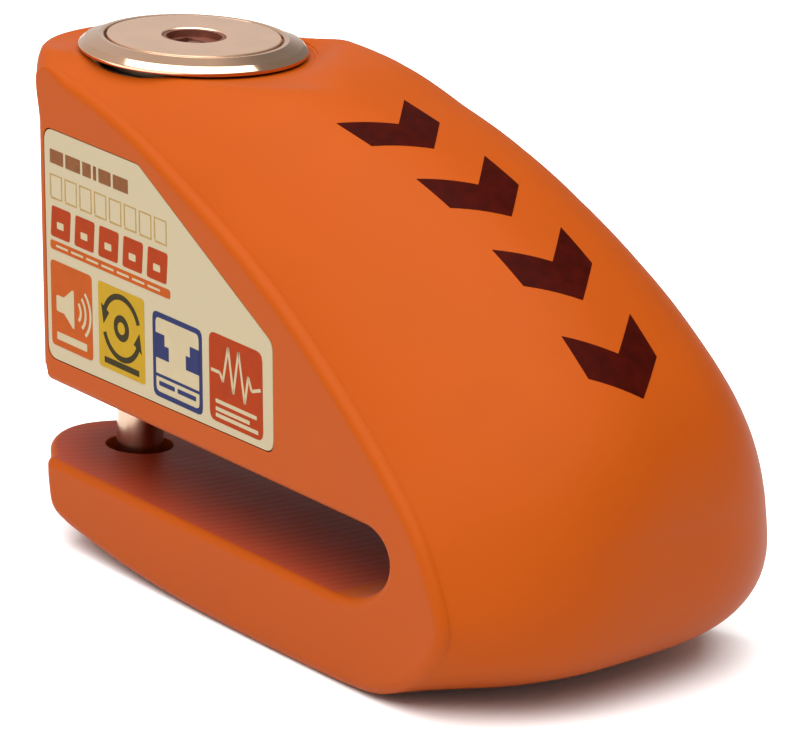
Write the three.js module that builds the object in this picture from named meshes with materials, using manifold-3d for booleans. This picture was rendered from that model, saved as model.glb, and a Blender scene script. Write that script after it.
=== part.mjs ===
// Disc brake lock with an alarm: a casting whose slot takes the edge of a brake disc, and a push-down
// lock barrel whose pin crosses the slot. Millimetres, +Z up, +X from the open mouth to the closed back.
// Heights are from the flat base. Lengths are from the pin's axis until the last group shifts them.
import * as THREE from 'three';
import { mergeVertices } from 'three/addons/utils/BufferGeometryUtils.js';
import Module from 'manifold-3d';

const wasm = await Module();
wasm.setup();

// ---------------------------------------------------------------- driving dimensions
const PIN_X = -38.9; // pin axis in the part's frame, which is centred on the body
const PIN_R = 3;
const TRAVEL = 14.2; // barrel stroke between locked and open
const GAP = 0.3; // clearance between neighbouring pieces

const SIDE_HALF = 14.06; // half width at the pin, at the slot floor
const SIDE_TAPER = THREE.MathUtils.degToRad(10.9); // each side face turns outward towards the back
const SIDE_DRAFT = THREE.MathUtils.degToRad(3.7); // and leans outward going up
const EDGE_R = 1.6; // rounding where a side face meets the crowned back
const CORNER = [-4, 61.7]; // the rounding is finer at the side face's top front corner
const CORNER_R = 0.3;

const SLOT_LOW = 11.3;
const SLOT_HIGH = 21.7;
const SLOT_END = 68.7;
const SLOT_END_Z = 18.2; // height of the slot's deepest point
const SLOT_TURN_HIGH = 64; // where the upper jaw starts to curve round the closed end
const SLOT_TURN_LOW = 57;
const PIN_HOLE_R = 4.3;
const PIN_TIP = 7.2;

const BARREL_X = 6.9;
const BARREL_R = 11.7;
const BARREL_FOOT = 25.6;
const SEAT_Z = 63.8; // floor of the shallow seat under the cap
const CAP_Z = 64.1;
const CAP_R = 14.4;
const FACE_R = 10.9;
const FACE_Z = 66;
const KEY_R = 4;
const BORE_R = 12;
const BORE_FLOOR = 24.6;
const CORE_R = 7.2;

// Outline of a side face, clockwise from the top front: x, z, then how far the middle of the body bulges
// out past the outline there, and the power that shapes the bulge across the width.
const OUTLINE = [
  [-1.6, 62.8, 3.4, 2.6], [2.5, 62, 3.8, 4], [8.5, 60.8, 5.5, 10], [17.5, 58.2, 8.9, 8],
  [26, 54.8, 12.1, 5.5], [35, 51, 13.8, 4.2], [43.5, 46.8, 15.6, 3.6], [51.5, 42, 17.1, 3.2],
  [59.5, 36.4, 18, 3.1], [67, 30.5, 18.1, 3.1], [74, 23.8, 17.2, 3.1], [78, 17.2, 13.8, 3.3],
  [79.5, 12, 10, 3.3], [76.5, 7, 5.6, 3.2], [71.5, 3.2, 2.4, 3], [66, 0.9, 0.5, 3],
  [60, 0.2, 0, 3], [50, 0, 0, 3], [38, 0, 0, 3], [26, 0.3, 0, 3],
  [15, 1.1, 0, 3], [6, 2.3, 0.3, 2], [0, 3.4, 2, 2], [-2.8, 4.8, 4, 2],
  [-3.7, 8, 6.6, 2], [-3.9, 12, 7.8, 2], [-4.2, 30, 8.2, 2.2], [-4.4, 50, 8.2, 2.3],
  [-4.35, 59.8, 8.25, 2.3], [-3.8, 61.85, 8.2, 2.3],
];

const FACE_CENTRE = [35, 26]; // a point well inside that outline
const NEAR_POWER = 2.2; // the crown is rounder on the label's side, above the jaws

const TOP_Z = 63.9; // flat top of the body round the cap
const TOP_R = 15.2; // the body starts to rise again this far from the barrel's axis
const TOP_BLEND = 0.7;
const NEAR_RISE = 0.1; // slope of that rise on the label's side
const FAR_RISE = 0.7; // and on the cover's side, behind the cap
const FRONT_DIP = 1.1; // drop of the top towards the front

// ---------------------------------------------------------------- helpers
const paint = (color, roughness, metalness) => new THREE.MeshStandardMaterial({ color, roughness, metalness });

function solid(geometry) {
  const bare = geometry.index ? geometry.toNonIndexed() : geometry.clone();
  for (const name of Object.keys(bare.attributes)) {
    if (name !== 'position') bare.deleteAttribute(name);
  }
  const merged = mergeVertices(bare, 1e-4);
  const vertProperties = new Float32Array(merged.attributes.position.array);
  const triVerts = new Uint32Array(merged.index.array);
  return new wasm.Manifold(new wasm.Mesh({ numProp: 3, vertProperties, triVerts }));
}

function meshOf(name, shape, material) {
  const data = shape.getMesh();
  const geometry = new THREE.BufferGeometry();
  geometry.setAttribute('position', new THREE.BufferAttribute(new Float32Array(data.vertProperties), 3));
  geometry.setIndex(new THREE.BufferAttribute(new Uint32Array(data.triVerts), 1));
  const mesh = new THREE.Mesh(geometry, material);
  mesh.name = name;
  return mesh;
}

function box(x0, x1, y0, y1, z0, z1) {
  const g = new THREE.BoxGeometry(x1 - x0, y1 - y0, z1 - z0);
  return solid(g.translate((x0 + x1) / 2, (y0 + y1) / 2, (z0 + z1) / 2));
}

// Upright cylinder on (x, y) from z0 to z1.
function post(x, y, r, z0, z1, segments = 32) {
  const g = new THREE.CylinderGeometry(r, r, z1 - z0, segments);
  return solid(g.rotateX(Math.PI / 2).translate(x, y, (z0 + z1) / 2));
}

// Cylinder along +Y, centred on (x, z).
function crossPost(x, z, r, y0, y1, segments = 32) {
  const g = new THREE.CylinderGeometry(r, r, y1 - y0, segments);
  return solid(g.translate(x, (y0 + y1) / 2, z));
}

// Cylinder along +X, centred on (y, z).
function longPost(y, z, r, x0, x1, segments = 24) {
  const g = new THREE.CylinderGeometry(r, r, x1 - x0, segments);
  return solid(g.rotateZ(-Math.PI / 2).translate((x0 + x1) / 2, y, z));
}

// Ring or cup turned about an upright axis: points are [radius, z] round a closed profile.
function turned(x, y, points, segments = 36) {
  const profile = [...points, points[0]].map(([r, z]) => new THREE.Vector2(r, z));
  const g = new THREE.LatheGeometry(profile, segments);
  return solid(g.rotateX(Math.PI / 2).translate(x, y, 0));
}

// Prism along +Y over a polygon of [x, z] points.
function prism(points, y0, y1, holes = []) {
  const shape = new THREE.Shape(points.map(([x, z]) => new THREE.Vector2(x, z)));
  for (const hole of holes) {
    shape.holes.push(new THREE.Path(hole.map(([x, z]) => new THREE.Vector2(x, z))));
  }
  const g = new THREE.ExtrudeGeometry(shape, { depth: y1 - y0, bevelEnabled: false });
  return solid(g.rotateX(Math.PI / 2).translate(0, y1, 0));
}

// Polygon with its corners rounded by r.
function rounded(points, r, steps = 5) {
  const out = [];
  points.forEach((p, i) => {
    const a = new THREE.Vector2(...points.at(i - 1));
    const b = new THREE.Vector2(...p);
    const c = new THREE.Vector2(...points[(i + 1) % points.length]);
    const toA = a.clone().sub(b).normalize();
    const toC = c.clone().sub(b).normalize();
    const half = Math.acos(THREE.MathUtils.clamp(toA.dot(toC), -1, 1)) / 2;
    const cut = r / Math.tan(half);
    const curve = new THREE.QuadraticBezierCurve(
      b.clone().addScaledVector(toA, cut), b, b.clone().addScaledVector(toC, cut));
    curve.getPoints(steps).forEach((q) => out.push([q.x, q.y]));
  });
  return out;
}

// Convex polygon with every side moved out by a distance.
function grown(points, by) {
  return points.map((p, i) => {
    const b = new THREE.Vector2(...p);
    const toA = new THREE.Vector2(...points.at(i - 1)).sub(b).normalize();
    const toC = new THREE.Vector2(...points[(i + 1) % points.length]).sub(b).normalize();
    const half = Math.acos(THREE.MathUtils.clamp(toA.dot(toC), -1, 1)) / 2;
    const out = toA.add(toC).normalize().multiplyScalar(-by / Math.sin(half));
    return [b.x + out.x, b.y + out.y];
  });
}

// ---------------------------------------------------------------- body surface
const halfWidth = (x, z) => SIDE_HALF + x * Math.tan(SIDE_TAPER) + (z - SLOT_LOW) * Math.tan(SIDE_DRAFT);

function edgeRadius(x, z) {
  const away = Math.hypot(x - CORNER[0], z - CORNER[1]);
  return THREE.MathUtils.lerp(CORNER_R, EDGE_R, THREE.MathUtils.smoothstep(away, 1, 7));
}

// Height of the crown once it is kept down to the flat top round the cap.
function settled(x, y, z) {
  const away = Math.max(0, Math.hypot(x - BARREL_X, y) - TOP_R);
  const far = THREE.MathUtils.smoothstep(y, -4, 12) * THREE.MathUtils.smoothstep(x, 0, 12);
  const rise = THREE.MathUtils.lerp(NEAR_RISE, FAR_RISE, far) * away;
  const limit = TOP_Z + rise - FRONT_DIP * THREE.MathUtils.smoothstep(-x, 2, 12);
  const h = THREE.MathUtils.clamp(0.5 + (limit - z) / (2 * TOP_BLEND), 0, 1);
  return THREE.MathUtils.lerp(limit, z, h) - TOP_BLEND * h * (1 - h);
}

// Evenly spread stations round the outline, each with its outward normal, bulge and power.
function outlineStations(count) {
  const curve = new THREE.CatmullRomCurve3(
    OUTLINE.map(([x, z, bulge]) => new THREE.Vector3(x, bulge, z)), true, 'catmullrom', 0.5);
  const stations = [];
  for (let i = 0; i < count; i += 1) {
    const t = i / count;
    const p = curve.getPoint(t);
    const ahead = curve.getPoint((t + 0.002) % 1);
    const behind = curve.getPoint((t + 0.998) % 1);
    const tangent = new THREE.Vector2(ahead.x - behind.x, ahead.z - behind.z).normalize();
    const k = Math.floor(t * OUTLINE.length);
    const f = t * OUTLINE.length - k;
    const power = THREE.MathUtils.lerp(OUTLINE[k][3], OUTLINE[(k + 1) % OUTLINE.length][3], f);
    stations.push({ x: p.x, z: p.z, nx: -tangent.y, nz: tangent.x, bulge: Math.max(p.y, 0), power });
  }
  return stations;
}

// Closed skin of the casting: a strip of stations for each slice across the width, the first and last
// slices stepping round the edge into the flat side faces.
function bodySkin(count, slices) {
  const stations = outlineStations(count);
  const rows = [];
  const arc = [Math.PI / 2, Math.PI / 4];
  const edgeRow = (side, angle) => stations.map((s) => {
    const r = edgeRadius(s.x, s.z);
    const inset = r * (1 - Math.cos(angle));
    const x = s.x - s.nx * inset;
    const z = s.z - s.nz * inset;
    return [x, side * (halfWidth(x, z) - r * (1 - Math.sin(angle))), z];
  });
  arc.forEach((angle) => rows.push(edgeRow(-1, angle)));
  for (let j = 0; j <= slices; j += 1) {
    const u = -Math.cos((Math.PI * j) / slices);
    rows.push(stations.map((s) => {
      const span = halfWidth(s.x, s.z);
      const y = u * (span - edgeRadius(s.x, s.z));
      const rounder = THREE.MathUtils.lerp(s.power, NEAR_POWER, THREE.MathUtils.smoothstep(s.z, 8, 26));
      const power = u < 0 ? Math.min(s.power, rounder) : s.power;
      const out = s.bulge * (1 - Math.abs(u) ** power);
      const x = s.x + s.nx * out;
      return [x, y, settled(x, y, s.z + s.nz * out)];
    }));
  }
  arc.reverse().forEach((angle) => rows.push(edgeRow(1, angle)));
  const position = rows.flat(2);
  const index = [];
  for (let j = 0; j + 1 < rows.length; j += 1) {
    for (let i = 0; i < count; i += 1) {
      const a = j * count + i;
      const b = j * count + ((i + 1) % count);
      index.push(a, b, a + count, b, b + count, a + count);
    }
  }
  const last = (rows.length - 1) * count;
  const near = position.length / 3;
  for (const side of [-1, 1]) position.push(FACE_CENTRE[0], side * halfWidth(...FACE_CENTRE), FACE_CENTRE[1]);
  for (let i = 0; i < count; i += 1) {
    const next = (i + 1) % count;
    index.push(near, next, i, near + 1, last + i, last + next);
  }
  const geometry = new THREE.BufferGeometry();
  geometry.setAttribute('position', new THREE.Float32BufferAttribute(position, 3));
  geometry.setIndex(index);
  return geometry;
}

// ---------------------------------------------------------------- side frames
// A piece drawn flat on the XZ plane with its outer face at y = 0 is laid on a side face by this matrix.
// side is +1 for the cover's side and -1 for the label's side.
function sideMatrix(side) {
  const tanA = Math.tan(SIDE_TAPER);
  const tanD = Math.tan(SIDE_DRAFT);
  const normal = new THREE.Vector3(-tanA, side, -tanD).normalize();
  const along = new THREE.Vector3(1, side * tanA, 0).normalize();
  const up = new THREE.Vector3().crossVectors(along, normal).normalize();
  if (up.z < 0) up.negate();
  const frame = new THREE.Matrix4().makeBasis(along, normal.clone().multiplyScalar(side), up);
  const origin = new THREE.Vector3(0, side * halfWidth(0, 0), 0);
  return frame.setPosition(origin);
}

function laid(side, shape) {
  return shape.transform(sideMatrix(side).elements);
}

// ---------------------------------------------------------------- openings in the body
// Side view of the slot: straight jaws and a rounded closed end that is fuller at the bottom.
function slotOutline(steps) {
  const outline = [[-40, SLOT_HIGH]];
  for (let i = 0; i <= 2 * steps; i += 1) {
    const a = (Math.PI / 2) * (1 - i / steps);
    const turn = i < steps ? SLOT_TURN_HIGH : SLOT_TURN_LOW;
    const rise = i < steps ? SLOT_HIGH - SLOT_END_Z : SLOT_END_Z - SLOT_LOW;
    outline.push([turn + (SLOT_END - turn) * Math.cos(a), SLOT_END_Z + rise * Math.sin(a)]);
  }
  outline.push([-40, SLOT_LOW]);
  return outline;
}

const slot = prism(slotOutline(10), -45, 45);

const LABEL = [[-1.8, 25.2], [47.2, 25.8], [47.2, 39.5], [19, 54.9], [-1.8, 54.9]];
const LABEL_THICK = 0.4;
const COVER = [[24, 23.4], [62.5, 23.4], [62.5, 29.6], [48, 41], [28.5, 51.2], [24, 51.2]];
const COVER_THICK = 3;
const CAVITY = [[29.5, 25.8], [55.5, 25.8], [45.5, 37.3], [31.5, 46.5], [29.5, 46.5]];
const CAVITY_FLOOR_Y = -15.5;
const COVER_SCREWS = [[26.8, 26.2], [59.4, 26.4], [26.8, 48.4], [48.3, 38]];
const SCREW_R = 1.25;
const SCREW_LONG = 9;

const labelSeat = laid(-1, prism(rounded(grown(LABEL, 0.25), 2), -3, LABEL_THICK + 0.2));
const coverSeat = laid(1, prism(rounded(grown(COVER, 0.3), 1.5), -COVER_THICK - GAP - 0.8, 6));
const cavity = prism(rounded(CAVITY, 0.8), CAVITY_FLOOR_Y, 40);

const SWITCH_Y = 5;
const SWITCH_Z = 41.2;
const STOP_Y = -6;
const STOP_Z = 44.5;
const STOP_R = 1.2;
const BOLT_Z = 39.3;
const BOLT_R = 2;
const BOLT_OUT = 12.9;
const BOLT_STROKE = 2;

const bore = post(BARREL_X, 0, BORE_R, BORE_FLOOR, 80, 40);
const bushSeat = post(BARREL_X, 0, BORE_R + 1.6, 57.5, 80, 40);
const capSeat = post(BARREL_X, 0, CAP_R + 0.7, SEAT_Z, 80, 40);
const pinGuide = post(0, 0, PIN_R + 0.3, 18, 26, 24);
const pinHole = post(0, 0, PIN_HOLE_R, 3.4, 14, 32);
const keyways = box(BARREL_X - BOLT_R - GAP, BARREL_X + BOLT_R + GAP, -BOLT_OUT - 0.5, BOLT_OUT + 0.5,
  BOLT_Z - BOLT_R - GAP, BOLT_Z + BOLT_R + TRAVEL + GAP);
const plungerHole = longPost(SWITCH_Y, SWITCH_Z, 1.3, 15, 31);
const stopHole = longPost(STOP_Y, STOP_Z, STOP_R + GAP, 14, 31);

// ---------------------------------------------------------------- materials
const orange = paint(0xd9601f, 0.45, 0.1);
const steel = paint(0xc9b8a4, 0.25, 1);
const brushed = paint(0xbfae9c, 0.35, 1);
const darkSteel = paint(0x6a625c, 0.4, 1);
const brass = paint(0xb08d4a, 0.35, 1);
const rubber = paint(0x1c1c1c, 0.85, 0);
const blackPlastic = paint(0x222326, 0.55, 0);
const greyPlastic = paint(0x5a5e63, 0.55, 0);
const boardGreen = paint(0x1f5a36, 0.5, 0);
const cream = paint(0xd8cdb0, 0.5, 0);
const cell = paint(0x2d4f86, 0.4, 0.3);

const lock = new THREE.Group();
const add = (name, shape, material) => lock.add(meshOf(name, shape, material));

// ---------------------------------------------------------------- casting
let casting = solid(bodySkin(80, 12)).intersect(box(-60, 120, -60, 60, 0, 120));
for (const cut of [slot, labelSeat, coverSeat, cavity, bore, bushSeat, capSeat, pinGuide, pinHole,
  keyways, plungerHole, stopHole]) {
  casting = casting.subtract(cut);
}
for (const [x, z] of COVER_SCREWS) {
  const hole = prism(circle(x, z, SCREW_R + GAP), -COVER_THICK - SCREW_LONG, 0);
  casting = casting.subtract(laid(1, hole));
}
add('body', casting, orange);

function circle(x, z, r, n = 14) {
  return Array.from({ length: n }, (_, i) => {
    const a = (2 * Math.PI * i) / n;
    return [x + r * Math.cos(a), z + r * Math.sin(a)];
  });
}

// ---------------------------------------------------------------- side label and side cover
add('side_label', laid(-1, prism(rounded(LABEL, 2), 0, LABEL_THICK)), cream);

const soundSlots = [33, 36, 39, 42].map((x) => rounded([[x, 32], [x + 1.4, 32], [x + 1.4, 40], [x, 40]], 0.6, 2));
let cover = prism(rounded(COVER, 1.3), -COVER_THICK, -0.1, soundSlots);
let gasket = prism(rounded(COVER, 1.3), -COVER_THICK - GAP - 0.6, -COVER_THICK - GAP,
  [rounded(grown(CAVITY, 0.3), 0.8)]);
for (const [x, z] of COVER_SCREWS) {
  cover = cover.subtract(prism(circle(x, z, SCREW_R + GAP), -10, 2))
    .subtract(prism(circle(x, z, SCREW_R + 1.15), -1.6, 2));
  gasket = gasket.subtract(prism(circle(x, z, SCREW_R + GAP), -10, 2));
}
add('side_cover', laid(1, cover), orange);
add('cover_gasket', laid(1, gasket), rubber);
COVER_SCREWS.forEach(([x, z], i) => {
  const shank = prism(circle(x, z, SCREW_R), -SCREW_LONG, -1.2);
  const head = prism(circle(x, z, SCREW_R + 0.85), -1.3, -0.3);
  const socket = prism(circle(x, z, 0.9, 6), -0.9, 1);
  add(`cover_screw_${i + 1}`, laid(1, shank.add(head).subtract(socket)), darkSteel);
});

// ---------------------------------------------------------------- barrel
const barrelTop = CAP_Z - 0.3;
const groove = (z) => turned(BARREL_X, 0, [[BARREL_R - 1.4, z - 1], [BARREL_R + 1, z - 1],
  [BARREL_R + 1, z + 1], [BARREL_R - 1.4, z + 1]]);
const coreBore = post(BARREL_X, 0, CORE_R + GAP, 42.7, 80, 48);
const camBore = post(BARREL_X, 0, 6.6, 36.4, 43, 48);
const springPocket = post(BARREL_X + 5.2, 0, 4.1, BARREL_FOOT - 1, 35.3, 28);
const boltHoles = crossPost(BARREL_X, BOLT_Z, BOLT_R + 0.3, -20, 20, 28);
const pinSocket = post(0, 0, PIN_R + 0.3, BARREL_FOOT - 1, 32.8, 28);
const stopGroove = box(BARREL_X + 8.4, BARREL_X + 14, STOP_Y - STOP_R - GAP, STOP_Y + STOP_R + GAP,
  STOP_Z - STOP_R - GAP - TRAVEL, STOP_Z + STOP_R + GAP);
const rampFoot = SWITCH_Z - TRAVEL - 3;
const ramp = prism([[BARREL_X + 8.5, rampFoot], [BARREL_X + 20, rampFoot], [BARREL_X + 20, SWITCH_Z + 3],
  [BARREL_X + 8.5 + (TRAVEL + 6) / TRAVEL, SWITCH_Z + 3]], SWITCH_Y - 2.2, SWITCH_Y + 2.2);
let shell = post(BARREL_X, 0, BARREL_R, BARREL_FOOT, barrelTop, 40);
for (const cut of [groove(59), coreBore, camBore, springPocket, boltHoles, pinSocket, stopGroove, ramp]) {
  shell = shell.subtract(cut);
}
add('barrel_shell', shell, darkSteel);
add('barrel_seal', solid(new THREE.TorusGeometry(BARREL_R - 0.5, 0.6, 6, 32).translate(BARREL_X, 0, 59)),
  rubber);
add('bore_bush', turned(BARREL_X, 0, [[BORE_R + 0.05, 57.8], [BORE_R + 1.3, 57.8], [BORE_R + 1.3, 62.8],
  [BORE_R + 0.05, 62.8]], 40), brass);
add('lock_pin', post(0, 0, PIN_R, PIN_TIP + 0.8, 32.5, 40)
  .add(solid(new THREE.CylinderGeometry(PIN_R, PIN_R - 0.8, 0.8, 40).rotateX(Math.PI / 2)
    .translate(0, 0, PIN_TIP + 0.4))), steel);

const capProfile = [[CORE_R + 1.2, CAP_Z], [CAP_R - 0.4, CAP_Z], [CAP_R, CAP_Z + 0.35], [CAP_R - 0.2, CAP_Z + 0.7],
  [CAP_R - 1.4, CAP_Z + 1.35], [FACE_R + 0.6, FACE_Z - 0.05], [FACE_R + 0.3, FACE_Z - 0.3],
  [FACE_R + 0.3, CAP_Z + 0.7], [CORE_R + 1.2, CAP_Z + 0.7]];
add('cap_ring', turned(BARREL_X, 0, capProfile, 40), steel);
add('cap_face', turned(BARREL_X, 0, [[KEY_R, CAP_Z + 1], [FACE_R, CAP_Z + 1], [FACE_R, FACE_Z - 0.15],
  [FACE_R - 0.15, FACE_Z], [KEY_R, FACE_Z]], 40), brushed);

// ---------------------------------------------------------------- lock core, turned by the key
const KEY_SLOT = 1.35;
const corePlate = turned(BARREL_X, 0, [[0.01, 62.3], [CORE_R, 62.3], [CORE_R, CAP_Z + 0.6], [KEY_R - 0.3, CAP_Z + 0.7],
  [KEY_R - 0.3, FACE_Z - 1.2], [0.01, FACE_Z - 1.2]], 40);
const keySlot = box(BARREL_X - 2.6, BARREL_X + 2.6, -KEY_SLOT, KEY_SLOT, 60, 70);
add('core_face', corePlate.add(post(BARREL_X, 0, 1, 62.3, FACE_Z - 1.2, 12)).subtract(keySlot), darkSteel);
const carrier = turned(BARREL_X, 0, [[CORE_R - 1, 45], [CORE_R, 45], [CORE_R, 62], [CORE_R - 1, 62]], 40)
  .add(post(BARREL_X, 0, CORE_R, 43, 45.5, 40))
  .subtract(box(BARREL_X + 3, BARREL_X + 9, -1.2, 1.2, 47, 70));
add('disc_carrier', carrier, brass);
const DISC_COUNT = 6;
for (let i = 0; i < DISC_COUNT; i += 1) {
  const z = 46 + i * 2.6;
  const disc = post(BARREL_X, 0, CORE_R - 1.3, z, z + 1.7, 32)
    .subtract(box(BARREL_X - 2.2, BARREL_X + 2.2, -1.2, 1.2, z - 1, z + 3))
    .subtract(box(BARREL_X + 4.6, BARREL_X + 8, -0.9 + i * 0.2, 0.9 + i * 0.2, z - 1, z + 3));
  add(`lock_disc_${i + 1}`, disc, brass);
}
const camRim = Array.from({ length: 48 }, (_, i) => {
  const a = (2 * Math.PI * i) / 48;
  const fromLobe = Math.abs(Math.asin(Math.cos(a)));
  const r = 5.8 - BOLT_STROKE * (fromLobe / (Math.PI / 2));
  return new THREE.Vector2(r * Math.cos(a), r * Math.sin(a));
});
const cam = new THREE.ExtrudeGeometry(new THREE.Shape(camRim), { depth: 5, bevelEnabled: false });
add('tail_cam', solid(cam.translate(BARREL_X, 0, 36.8)).add(post(BARREL_X, 0, 2.4, 41, 42.7, 24)), steel);

// ---------------------------------------------------------------- locking bolts, spring, stop pin
for (const side of [-1, 1]) {
  const tip = solid(new THREE.SphereGeometry(BOLT_R, 16, 8).translate(BARREL_X, side * (6.2 + BOLT_R), BOLT_Z));
  const stem = crossPost(BARREL_X, BOLT_Z, BOLT_R, side > 0 ? 6.2 + BOLT_R : -BOLT_OUT,
    side > 0 ? BOLT_OUT : -6.2 - BOLT_R, 20);
  add(side > 0 ? 'locking_bolt_right' : 'locking_bolt_left', tip.add(stem), steel);
}
class Helix extends THREE.Curve {
  getPoint(t, target = new THREE.Vector3()) {
    const turns = 5;
    const a = 2 * Math.PI * turns * t;
    return target.set(BARREL_X + 5.2 + 3 * Math.cos(a), 3 * Math.sin(a), 25.3 + 9.3 * t);
  }
}
const wire = new THREE.Shape(circle(0, 0, 0.4, 6).map(([x, y]) => new THREE.Vector2(x, y)));
add('return_spring', solid(new THREE.ExtrudeGeometry(wire, { extrudePath: new Helix(), steps: 70 })), steel);
add('stop_pin', longPost(STOP_Y, STOP_Z, STOP_R, BARREL_X + 8.8, 29.2, 20), steel);

// ---------------------------------------------------------------- alarm unit
const BATTERY_X = 37.6;
const BATTERY_Z = 33.2;
const BATTERY_R = 6.5;
const BOARD_Y = 11.6;
const ends = [CAVITY_FLOOR_Y + 0.4, BOARD_Y - 1];
add('battery_cradle', prism([[29.9, 26.2], [45, 26.2], [45, 29.8], [44.6, 29.8], [40.4, 26.6], [34.8, 26.6],
  [30.3, 29.8], [29.9, 29.8]], ends[0], ends[1]), blackPlastic);
add('battery', crossPost(BATTERY_X, BATTERY_Z, BATTERY_R, ends[0] + 1.2, ends[1] - 1, 32), cell);
add('battery_contact_back', prism(circle(BATTERY_X, BATTERY_Z, 4, 16), ends[0], ends[0] + 0.8), brass);
add('battery_contact_front', prism(circle(BATTERY_X, BATTERY_Z, 4, 16), ends[1] - 0.6, ends[1]), brass);
add('circuit_board', prism(rounded([[30, 26.3], [54, 26.3], [45.2, 36.7], [31.3, 45.8], [30, 45.8]], 0.4, 2),
  BOARD_Y, BOARD_Y + 1.6), boardGreen);
add('siren_disc', crossPost(38.5, 33.4, 6, BOARD_Y + 1.9, BOARD_Y + 4.2, 32), steel);
add('controller_chip', box(46.4, 49.6, BOARD_Y - 1.5, BOARD_Y - 0.3, 27, 30.2), blackPlastic);
add('shock_sensor', crossPost(48, 29, 1.8, BOARD_Y - 8, BOARD_Y - 1.8, 20), steel);
add('capacitor', crossPost(33.6, 41.6, 1.3, BOARD_Y - 4, BOARD_Y - 0.3, 20), cell);
add('siren_coil', crossPost(46.4, 33.6, 1.2, BOARD_Y - 5, BOARD_Y - 0.3, 20), brass);
add('switch_body', box(30, 34, SWITCH_Y - 2.4, SWITCH_Y + 2.4, SWITCH_Z - 1.7, SWITCH_Z + 1.8)
  .subtract(longPost(SWITCH_Y, SWITCH_Z, 1.2, 29, 32.8, 20)), greyPlastic);
add('switch_plunger', longPost(SWITCH_Y, SWITCH_Z, 0.9, BARREL_X + 10, 31.3, 16), brass);

const part = new THREE.Group();
lock.position.set(PIN_X, 0, 0);
part.add(lock);

export default part;
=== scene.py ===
"""Looks of a disc brake lock with an alarm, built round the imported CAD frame.

Lengths are in millimetres in the lock's own axes, and at() turns them into scene metres:
x from the pin's axis towards the closed back, y towards the side cover, z up from the base.
"""
import itertools
import math

import bmesh
import bpy
from mathutils import Matrix, Vector
from mathutils.bvhtree import BVHTree


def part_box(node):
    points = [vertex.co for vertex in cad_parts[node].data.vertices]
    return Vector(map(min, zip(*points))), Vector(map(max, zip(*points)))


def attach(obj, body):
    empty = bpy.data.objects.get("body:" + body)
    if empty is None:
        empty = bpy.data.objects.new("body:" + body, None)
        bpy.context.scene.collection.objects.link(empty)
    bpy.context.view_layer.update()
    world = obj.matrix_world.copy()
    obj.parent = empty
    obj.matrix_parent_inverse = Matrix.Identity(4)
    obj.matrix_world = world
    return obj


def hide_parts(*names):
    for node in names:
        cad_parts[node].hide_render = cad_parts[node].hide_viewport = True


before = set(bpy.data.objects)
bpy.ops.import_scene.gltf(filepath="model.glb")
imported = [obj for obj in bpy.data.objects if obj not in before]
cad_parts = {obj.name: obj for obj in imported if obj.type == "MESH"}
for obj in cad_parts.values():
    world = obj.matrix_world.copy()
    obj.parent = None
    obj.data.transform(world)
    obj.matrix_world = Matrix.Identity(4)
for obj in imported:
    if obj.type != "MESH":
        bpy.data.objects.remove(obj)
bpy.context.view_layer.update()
scene = bpy.context.scene

# ---------------------------------------------------------------- sizes, in millimetres
MM = 0.001
pin_low, pin_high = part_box("lock_pin")
PIN_X = (pin_low.x + pin_high.x) / 2

SIDE_HALF = 14.06  # half width at the pin, at the slot floor
SIDE_TAPER = math.radians(10.9)  # the body widens towards the back
SIDE_DRAFT = math.radians(3.7)  # and towards the top
EDGE_R = 1.6  # edges between the side faces and the crown
CORNER = (-4, 61.7)  # the edges are finer at the side face's top front corner
CORNER_R = 0.3
CORNER_NEAR = 1  # distances from the corner over which they grow to EDGE_R
CORNER_FAR = 7
LIP_R = 1.2  # rounding of the slot's lips at the side faces
UPPER_LIP_R = 1.6  # and at the front
LOWER_LIP_R = 1.0
HOLE_LIP_R = 0.15

SLOT_LOW = 11.3
SLOT_HIGH = 21.7
SLOT_END = 68.7  # deepest point of the closed end, and its height
SLOT_END_Z = 18.2
SLOT_TURN_HIGH = 64  # where the roof and the floor turn into the closed end
SLOT_TURN_LOW = 57
SLOT_MOUTH = -8
SLOT_BEYOND = -40  # where the slot's cutter ends, in front of the body

PIN_R = 3.0
PIN_TIP = 7.2
PIN_TOP = 32.5  # the pin's head, in its socket in the barrel
PIN_HOLE_R = 4.3
PIN_HOLE_FLOOR = 3.4
TRAVEL = 14.2  # rise of the barrel when it is unlocked
GAP = 0.3  # between neighbouring pieces
BARREL_X = 6.9
BARREL_R = 11.7
BARREL_FOOT = 25.6
BORE_R = 12.0
BORE_FLOOR = 24.6
BUSH_SEAT = 57.5
BUSH_WALL = 1.6  # room for the bush round the bore
BUSH_LONG = 5
SEAL_Z = 59
SEAL_R = 0.6
CORE_ROOM_FLOOR = 42.7  # rooms in the barrel for the core, its cam and the spring
CAM_ROOM_FLOOR = 36.4
CAM_ROOM_R = 6.6
SPRING_X = BARREL_X + 5.2
SPRING_ROOM_R = 4.1
SPRING_ROOM_TOP = 35.3
GROOVE_X = BARREL_X + 8.4  # flat of the stop groove, on the barrel's side
RAMP_X = BARREL_X + 8.5  # foot of the ramp that pushes the switch plunger
BEYOND = 80  # height well above the lock, where upright cuts end
SEAT_Z = 63.8  # floor of the cap's seat in the body
SEAT_ROOM = 0.6
SEAT_RIM_R = 0.35
CAP_Z = 64.1
CAP_R = 14.4
FACE_R = 10.9
FACE_Z = 66.0
KEY_R = 4.0  # hole in the cap face
KEYWAY_LONG = 5.2
KEYWAY_WIDE = 2.7
KEY_SUNK = 1  # depth of the keyway's plate below the cap face
CORE_R = 7.2
CORE_FOOT = 62.3  # underside of the core's face plate
BOLT_Z = 39.3
BOLT_R = 2.0
BOLT_OUT = 12.9

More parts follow.
